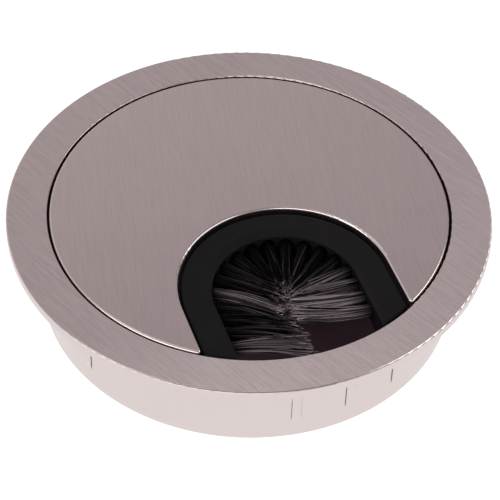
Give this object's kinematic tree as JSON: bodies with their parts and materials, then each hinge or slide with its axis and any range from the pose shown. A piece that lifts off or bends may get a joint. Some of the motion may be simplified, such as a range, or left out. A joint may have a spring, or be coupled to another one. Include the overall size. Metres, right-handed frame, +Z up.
{
  "type": "desk grommet",
  "caption": "Round desk cable grommet: flanged brushed-nickel sleeve, turning brush insert and lift-off cover with a U cutout.",
  "frame": {"origin": "centre of the flange's underside, in the plane of the desk top", "axes": "+Z up out of the desk along the sleeve's axis; the cable cutout opens towards -Y"},
  "size_m": [0.092, 0.092, 0.0198],
  "materials": {
    "brushed_nickel": "zinc casting plated in satin nickel, straight brushing on the flange and cover tops, plain satin sides",
    "black_plastic": "black moulded plastic, fine satin",
    "bristle_nylon": "dark grey nylon bristle",
    "zinc_steel": "zinc-plated steel"
  },
  "bodies": {
    "sleeve": {"sleeve": "brushed_nickel"},
    "insert": {"brush_carrier": "black_plastic", "brush_frame": "black_plastic", "brush_retainer": "black_plastic", "retainer_screws": "zinc_steel", "tuft_anchors": "zinc_steel"},
    "cover": {"cover": "brushed_nickel"},
    "tuft_01_free": {"tuft_01": "bristle_nylon"},
    "tuft_02_free": {"tuft_02": "bristle_nylon"},
    "tuft_03_free": {"tuft_03": "bristle_nylon"},
    "tuft_04_free": {"tuft_04": "bristle_nylon"},
    "tuft_05_free": {"tuft_05": "bristle_nylon"},
    "tuft_06_free": {"tuft_06": "bristle_nylon"},
    "tuft_07_free": {"tuft_07": "bristle_nylon"},
    "tuft_08_free": {"tuft_08": "bristle_nylon"},
    "tuft_09_free": {"tuft_09": "bristle_nylon"},
    "tuft_10_free": {"tuft_10": "bristle_nylon"},
    "tuft_11_free": {"tuft_11": "bristle_nylon"},
    "tuft_12_free": {"tuft_12": "bristle_nylon"},
    "tuft_13_free": {"tuft_13": "bristle_nylon"},
    "tuft_14_free": {"tuft_14": "bristle_nylon"},
    "tuft_15_free": {"tuft_15": "bristle_nylon"},
    "tuft_16_free": {"tuft_16": "bristle_nylon"},
    "tuft_17_free": {"tuft_17": "bristle_nylon"},
    "tuft_18_free": {"tuft_18": "bristle_nylon"}
  },
  "joints": [
    {"name": "insert_turn", "type": "hinge", "parent": "sleeve", "child": "insert", "pos_m": [0, 0, 0], "axis": [0, 0, 1], "continuous": true},
    {"name": "cover_lift", "type": "slide", "parent": "insert", "child": "cover", "axis": [0, 0, 1], "range_m": [0, 0.02]},
    {"name": "tuft_01_flex", "type": "hinge", "parent": "insert", "child": "tuft_01_free", "pos_m": [-0.013, -0.03, -0.0014], "axis": [0, 1, 0], "range_deg": [-50, 60]},
    {"name": "tuft_02_flex", "type": "hinge", "parent": "insert", "child": "tuft_02_free", "pos_m": [-0.013, -0.02647, -0.0014], "axis": [0, 1, 0], "range_deg": [-50, 60]},
    {"name": "tuft_03_flex", "type": "hinge", "parent": "insert", "child": "tuft_03_free", "pos_m": [-0.013, -0.02294, -0.0014], "axis": [0, 1, 0], "range_deg": [-50, 60]},
    {"name": "tuft_04_flex", "type": "hinge", "parent": "insert", "child": "tuft_04_free", "pos_m": [-0.01292, -0.0195, -0.0014], "axis": [0.111, 0.9938, 0], "range_deg": [-50, 60]},
    {"name": "tuft_05_flex", "type": "hinge", "parent": "insert", "child": "tuft_05_free", "pos_m": [-0.01213, -0.01625, -0.0014], "axis": [0.3604, 0.9328, 0], "range_deg": [-50, 60]},
    {"name": "tuft_06_flex", "type": "hinge", "parent": "insert", "child": "tuft_06_free", "pos_m": [-0.01053, -0.01332, -0.0014], "axis": [0.586, 0.8103, 0], "range_deg": [-50, 60]},
    {"name": "tuft_07_flex", "type": "hinge", "parent": "insert", "child": "tuft_07_free", "pos_m": [-0.00825, -0.01089, -0.0014], "axis": [0.773, 0.6344, 0], "range_deg": [-50, 60]},
    {"name": "tuft_08_flex", "type": "hinge", "parent": "insert", "child": "tuft_08_free", "pos_m": [-0.00542, -0.00912, -0.0014], "axis": [0.9091, 0.4167, 0], "range_deg": [-50, 60]},
    {"name": "tuft_09_flex", "type": "hinge", "parent": "insert", "child": "tuft_09_free", "pos_m": [-0.00223, -0.00813, -0.0014], "axis": [0.9852, 0.1715, 0], "range_deg": [-50, 60]},
    {"name": "bristle_flex", "type": "hinge", "parent": "insert", "child": "tuft_10_free", "pos_m": [0.0011, -0.00799, -0.0014], "axis": [0.9964, -0.085, 0], "range_deg": [-50, 60]},
    {"name": "tuft_11_flex", "type": "hinge", "parent": "insert", "child": "tuft_11_free", "pos_m": [0.00437, -0.0087, -0.0014], "axis": [0.9419, -0.3359, 0], "range_deg": [-50, 60]},
    {"name": "tuft_12_flex", "type": "hinge", "parent": "insert", "child": "tuft_12_free", "pos_m": [0.00734, -0.01021, -0.0014], "axis": [0.8254, -0.5646, 0], "range_deg": [-50, 60]},
    {"name": "tuft_13_flex", "type": "hinge", "parent": "insert", "child": "tuft_13_free", "pos_m": [0.00983, -0.01243, -0.0014], "axis": [0.6544, -0.7561, 0], "range_deg": [-50, 60]},
    {"name": "tuft_14_flex", "type": "hinge", "parent": "insert", "child": "tuft_14_free", "pos_m": [0.01167, -0.01522, -0.0014], "axis": [0.4403, -0.8978, 0], "range_deg": [-50, 60]},
    {"name": "tuft_15_flex", "type": "hinge", "parent": "insert", "child": "tuft_15_free", "pos_m": [0.01274, -0.01838, -0.0014], "axis": [0.1972, -0.9804, 0], "range_deg": [-50, 60]},
    {"name": "tuft_16_flex", "type": "hinge", "parent": "insert", "child": "tuft_16_free", "pos_m": [0.013, -0.02175, -0.0014], "axis": [0, -1, 0], "range_deg": [-50, 60]},
    {"name": "tuft_17_flex", "type": "hinge", "parent": "insert", "child": "tuft_17_free", "pos_m": [0.013, -0.02527, -0.0014], "axis": [0, -1, 0], "range_deg": [-50, 60]},
    {"name": "tuft_18_flex", "type": "hinge", "parent": "insert", "child": "tuft_18_free", "pos_m": [0.013, -0.0288, -0.0014], "axis": [0, -1, 0], "range_deg": [-50, 60]}
  ],
  "couplings": [
    {"joint": "tuft_01_flex", "follows": "bristle_flex", "ratio": 1},
    {"joint": "tuft_02_flex", "follows": "bristle_flex", "ratio": 1},
    {"joint": "tuft_03_flex", "follows": "bristle_flex", "ratio": 1},
    {"joint": "tuft_04_flex", "follows": "bristle_flex", "ratio": 1},
    {"joint": "tuft_05_flex", "follows": "bristle_flex", "ratio": 1},
    {"joint": "tuft_06_flex", "follows": "bristle_flex", "ratio": 1},
    {"joint": "tuft_07_flex", "follows": "bristle_flex", "ratio": 1},
    {"joint": "tuft_08_flex", "follows": "bristle_flex", "ratio": 1},
    {"joint": "tuft_09_flex", "follows": "bristle_flex", "ratio": 1},
    {"joint": "tuft_11_flex", "follows": "bristle_flex", "ratio": 1},
    {"joint": "tuft_12_flex", "follows": "bristle_flex", "ratio": 1},
    {"joint": "tuft_13_flex", "follows": "bristle_flex", "ratio": 1},
    {"joint": "tuft_14_flex", "follows": "bristle_flex", "ratio": 1},
    {"joint": "tuft_15_flex", "follows": "bristle_flex", "ratio": 1},
    {"joint": "tuft_16_flex", "follows": "bristle_flex", "ratio": 1},
    {"joint": "tuft_17_flex", "follows": "bristle_flex", "ratio": 1},
    {"joint": "tuft_18_flex", "follows": "bristle_flex", "ratio": 1}
  ]
}
